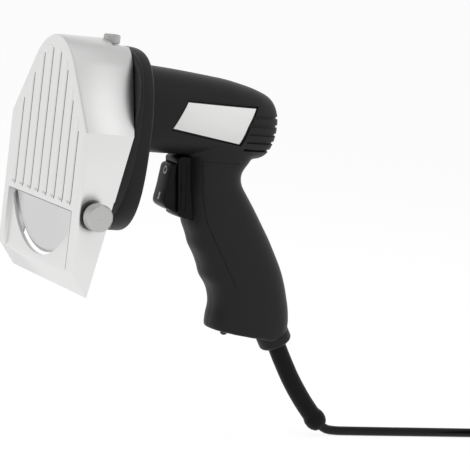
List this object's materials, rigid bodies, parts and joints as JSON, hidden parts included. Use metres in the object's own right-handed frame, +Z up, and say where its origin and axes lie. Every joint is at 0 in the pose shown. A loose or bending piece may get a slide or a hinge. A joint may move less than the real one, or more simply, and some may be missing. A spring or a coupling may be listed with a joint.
{
  "type": "electric kebab slicer",
  "caption": "Hand-held electric meat slicer with a pistol grip, a round blade behind a fluted sliding guard, a rocker switch and a mains cord",
  "frame": {"origin": "Middle of the grip, where the hand holds the tool", "axes": "+X runs back from the guard's face along the motor, +Z is up and +Y is to the user's right, away from the picture's viewer"},
  "size_m": [0.489, 0.1273, 0.2221],
  "materials": {
    "guard_metal": "satin cast and brushed",
    "blade_metal": "ground",
    "fastener_steel": "zinc plated",
    "machine_steel": "machined",
    "bronze": "sintered",
    "brass": "plain",
    "copper_wire": "enamelled",
    "carbon": "carbon",
    "lamination": "varnished",
    "body_plastic": "fine texture",
    "switch_plastic": "satin",
    "gear_nylon": "moulded",
    "fan_nylon": "moulded",
    "felt": "oiled felt",
    "label": "bare film",
    "rubber": "matt",
    "blue_wire": "insulation",
    "red_wire": "insulation"
  },
  "bodies": {
    "tool_body": {"side_knob_stud": "fastener_steel", "top_knob_stud": "fastener_steel", "spindle_seal": "felt", "spindle_front_bearing": "machine_steel", "spindle_rear_bush": "bronze", "idler_axle": "machine_steel", "gear_cover": "guard_metal", "cover_screw_1": "fastener_steel", "cover_screw_2": "fastener_steel", "cover_screw_3": "fastener_steel", "gear_housing": "body_plastic", "housing_screw_1": "fastener_steel", "housing_screw_2": "fastener_steel", "stator_core": "lamination", "field_coil_1": "copper_wire", "field_coil_2": "copper_wire", "motor_front_bearing": "machine_steel", "motor_rear_bearing": "machine_steel", "carbon_brush_1": "carbon", "carbon_brush_2": "carbon", "brush_holder_1": "brass", "brush_holder_2": "brass", "left_shell": "body_plastic", "right_shell": "body_plastic", "shell_screw_front": "fastener_steel", "shell_screw_rear": "fastener_steel", "shell_screw_middle": "fastener_steel", "shell_screw_base": "fastener_steel", "base_stud": "machine_steel", "label_plate": "label", "switch_body": "switch_plastic", "switch_terminal_1": "brass", "switch_terminal_2": "brass", "motor_lead_1": "blue_wire", "motor_lead_2": "red_wire", "cord_collar": "body_plastic", "strain_relief": "rubber", "inner_cord": "rubber", "power_cord": "rubber", "cord_coil": "rubber", "cord_tail": "rubber", "plug_body": "rubber"},
    "guard": {"blade_guard": "guard_metal"},
    "blade_set": {"round_blade": "blade_metal", "blade_hub": "fastener_steel", "blade_screw": "machine_steel", "blade_spindle": "machine_steel", "blade_gear": "gear_nylon"},
    "idler": {"idler_gear": "gear_nylon"},
    "armature": {"motor_shaft": "machine_steel", "motor_pinion": "machine_steel", "armature_core": "lamination", "armature_winding_front": "copper_wire", "armature_winding_rear": "copper_wire", "commutator": "brass", "cooling_fan": "fan_nylon"},
    "rocker": {"switch_rocker": "switch_plastic"},
    "side_knob_turn": {"side_knob": "machine_steel"},
    "top_knob_turn": {"top_knob": "machine_steel"}
  },
  "joints": [
    {"name": "blade_spin", "type": "hinge", "parent": "tool_body", "child": "blade_set", "pos_m": [-0.115, 0, 0.045], "axis": [1, 0, 0], "continuous": true},
    {"name": "idler_spin", "type": "hinge", "parent": "tool_body", "child": "idler", "pos_m": [-0.094, 0.01533, 0.06475], "axis": [1, 0, 0], "continuous": true},
    {"name": "armature_spin", "type": "hinge", "parent": "tool_body", "child": "armature", "pos_m": [-0.045, 0, 0.0776], "axis": [1, 0, 0], "continuous": true},
    {"name": "guard_slide", "type": "slide", "parent": "tool_body", "child": "guard", "axis": [-1, 0, 0], "range_m": [0, 0.005]},
    {"name": "rocker_tilt", "type": "hinge", "parent": "tool_body", "child": "rocker", "pos_m": [-0.0403, 0, 0.0354], "axis": [0, -1, 0], "range_deg": [0, 16]},
    {"name": "side_knob_turn", "type": "hinge", "parent": "tool_body", "child": "side_knob_turn", "pos_m": [-0.1108, -0.0525, 0.023], "axis": [0, -1, 0], "range_deg": [0, 180]},
    {"name": "top_knob_turn", "type": "hinge", "parent": "tool_body", "child": "top_knob_turn", "pos_m": [-0.0887, 0, 0.1113], "axis": [0, 0, 1], "range_deg": [0, 180]}
  ],
  "couplings": [
    {"joint": "idler_spin", "follows": "blade_spin", "ratio": -2.5714},
    {"joint": "armature_spin", "follows": "blade_spin", "ratio": 7.7143}
  ]
}
